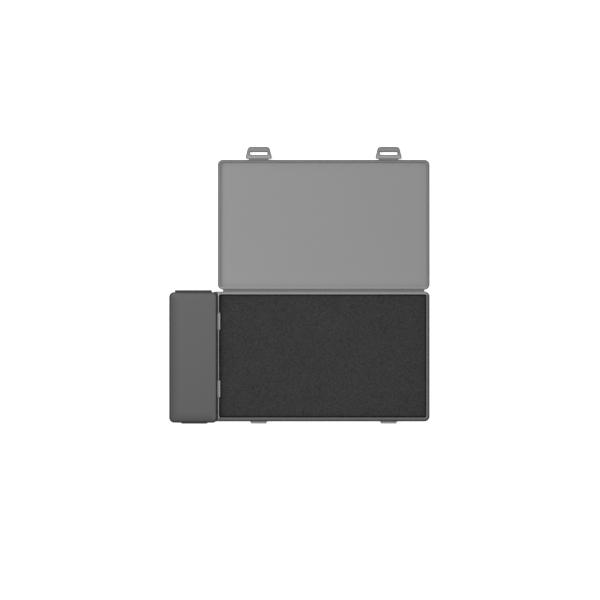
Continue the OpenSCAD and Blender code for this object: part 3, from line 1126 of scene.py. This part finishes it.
def makeTab():
    corner, thick, out, shift = pick(sideLid, "tabRadius", "tabThickness", "tabOut", "tabShift")
    middle, half = (boxX0 + boxX1) / 2 + shift, sideLid["tabWidth"] / 2
    front, inner = corner - out, sideLid["wall"] / 2
    shape = [
        *arc(middle + half - corner, front, corner, -90, 0, 4), (middle + half, inner),
        (middle - half, inner), *arc(middle - half + corner, front, corner, 180, 270, 4),
    ]
    mesh = plateMesh("sideLidTab", [shape], thick, sideLid["tabRounding"], *sideLid["tabTones"])
    mesh.transform(Matrix.Translation((0, sideLidY0 * mm, (sideLidZ0 + thick / 2) * mm)))
    return newObject("sideLidTab", mesh, boxPlastic)


def makeSideLid():
    z0, z1, under = sideLidZ0, sideLidZ1, sideLidZ1 - sideLid["top"]
    wall, edge, bend, crown = pick(sideLid, "wall", "edgeRound", "innerRound", "crown")
    inside, rim, edgeTones, nearEdge = pick(sideLid, "insideTone", "rimTone", "edgeTones", "nearEdgeTones")
    levels = rings(boxEdges, boxRadii, [
        (wall + bend + 1, under, inside), (wall + bend, under, inside),
        *roundOver((wall + bend, under), (wall, under - bend), 5, "flat", inside),
        (wall, under - bend, inside), (wall, z0 + 0.3, inside),
        (wall - 0.08, z0 + 0.08, rim, 0.6), (wall - 0.3, z0, rim, 0.4),
        (0.3, z0, 1, 0.4), (0.08, z0 + 0.08, 1, 1), (0, z0 + 0.3, 0.9, 0.6),
        (0, z1 - edge - crown, edgeTones, 0.2),
        *roundOver((0, z1 - edge - crown), (edge, z1 - crown), 7, "upright", edgeTones, 0.35),
        (edge, z1 - crown, nearEdge, 0.2), (edge + 1, z1 - crown * 0.8, nearEdge),
    ])
    crownRadii = [sideLid["crownRadius"]] * 4
    # the crown's last rise and the end of the edge's painted shade, as shares of each
    for inset, fall, shade in ((5, 0.5, 0.6), (8, 0.25, 0.25), (10, 0.15, 0), (16, 0.03, 0)):
        tones = [1 - (1 - tone) * shade for tone in nearEdge]
        levels.append(ring(boxEdges, crownRadii, inset, z1 - crown * fall, tones))
    levels.append(ring(boxEdges, crownRadii, 20, z1))
    lid = newObject("sideLidShell", loftMesh("sideLidShell", levels, steps=10), boxPlastic)
    return carve(lid, makeTab(), "UNION")


sideLidShell = makeSideLid()
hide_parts("side_lid")
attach(sideLidShell, "side_lid")
print("side lid is made")

# film hinges

film = {
    "thickness": 0.4,
    "foldThickness": 0.16,
    "grooveHalf": 0.55,  # how far from the fold the film starts to thin
    "topShare": 0.6,  # of the groove, the rest of which is underneath
    "latchHalfWidth": 9.95,
    "mainRoot": 0.35,  # how far each film runs into the wall it grows from
    "latchRoot": 0.3,
    "sideRoot": 0.4,
    "mainTones": (0.8, 1.3),  # at the lid and at the tray, with painted shade at the lid end
    "latchTones": (1.3, 1.3),
    # painted shade: the side box's folded film is painted dark
    "sideTone": 0.2,
    "rubbing": 0.3,
}


def stripMesh(name, section, x0, x1, tones, segments=12):
    # a strip along X of one closed section, each point of which is (y, z)
    loops = []
    for place in range(segments + 1):
        x = x0 + (x1 - x0) * place / segments
        loops.append([(x, y, z, tone, film["rubbing"]) for (y, z), tone in zip(section, tones)])
    return skinMesh(name, loops, 50)


def openFilm(name, rootY, fold, z1, droopAngle, x0, x1, tones):
    # a film that lies open at rest: full thickness at both walls and a groove along the fold
    thick, groove, above = pick(film, "thickness", "grooveHalf", "topShare")
    half = abs(fold - rootY)
    grooved = [share / 5 * groove / half for share in range(-5, 6)]
    top, bottom, shade = [], [], []
    for place in sorted({round(place, 4) for place in (-1, -0.8, -0.6, *grooved, 0.6, 0.8, 1)}):
        away = abs(place) * half
        share = 0 if away >= groove else 0.5 + 0.5 * math.cos(math.pi * away / groove)
        y = fold + place * half * (1 if fold > rootY else -1)
        sag = max(place, 0) * half * math.tan(droopAngle)
        cut = (thick - film["foldThickness"]) * share
        top.append((y, z1 - cut * above - sag))
        bottom.append((y, z1 - thick + cut * (1 - above) - sag))
        mix = (place + 1) / 2
        shade.append(tones[1] * (1 - mix) + tones[0] * mix)
    return stripMesh(name, top + bottom[::-1], x0, x1, shade + shade[::-1])


def makeMainWeb():
    x0, x1, y0, *_ = cadBox("main_hinge_tray_half")
    mesh = openFilm("mainWeb", y0 - film["mainRoot"], hingeY, rimZ, droop, x0, x1, film["mainTones"])
    return newObject("mainWeb", mesh, filmPlastic)


mainWeb = makeMainWeb()
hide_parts("main_hinge_tray_half", "main_hinge_lid_half")
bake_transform(mainWeb)


def makeLatchWeb(name, x):
    # drawn on the closed lid, from its front wall to the latch, then laid open with it
    half, rootY = film["latchHalfWidth"], rimY0 + film["latchRoot"]
    z1 = lidClosedZ + film["thickness"]
    mesh = openFilm(name, rootY, foldY, z1, 0, x - half, x + half, film["latchTones"])
    mesh.transform(layOpen)
    return newObject(name, mesh, filmPlastic)


for side, x in (("left", -latchX), ("right", latchX)):
    web = makeLatchWeb("latchWeb" + side.capitalize(), x)
    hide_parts(f"latch_hinge_{side}_lid_half", f"latch_hinge_{side}_tip_half")
    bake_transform(web)


def makeSideWeb():
    # folded double at rest: the box's layer below, a thin round fold, and the lid's layer above
    x0, x1, y0, _, _, z1 = cadBox("side_hinge_box_half")
    lower, upper = z1 - film["thickness"], sideLidZ0 + film["thickness"]
    root, neck, bend = y0 - film["sideRoot"], hingeY - 0.9, hingeY - 0.1
    outer, inner = film["foldThickness"], 0.05  # radii of the fold
    under = [
        (root, lower), (neck, lower), (neck + 0.3, lower + 0.12),
        (hingeY - 0.3, hingeZ - outer - 0.03), (bend, hingeZ - outer),
    ]
    over = [(y, 2 * hingeZ - z) for y, z in under[::-1]]
    over[-1] = (root, upper)
    inside = [
        (root, hingeZ + inner), (bend, hingeZ + inner), *arc(bend, hingeZ, inner, 60, -60, 4),
        (bend, hingeZ - inner), (root, hingeZ - inner),
    ]
    section = under + arc(hingeY, hingeZ, outer, -90, 90, 9) + over + inside
    # painted shade: all of the folded film takes the dark sideTone
    mesh = stripMesh("sideWeb", section, x0, x1, [film["sideTone"]] * len(section), segments=6)
    return newObject("sideWeb", mesh, filmPlastic)


sideWeb = makeSideWeb()
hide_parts("side_hinge_box_half", "side_hinge_lid_half")
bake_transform(sideWeb)
print("film hinges are made")
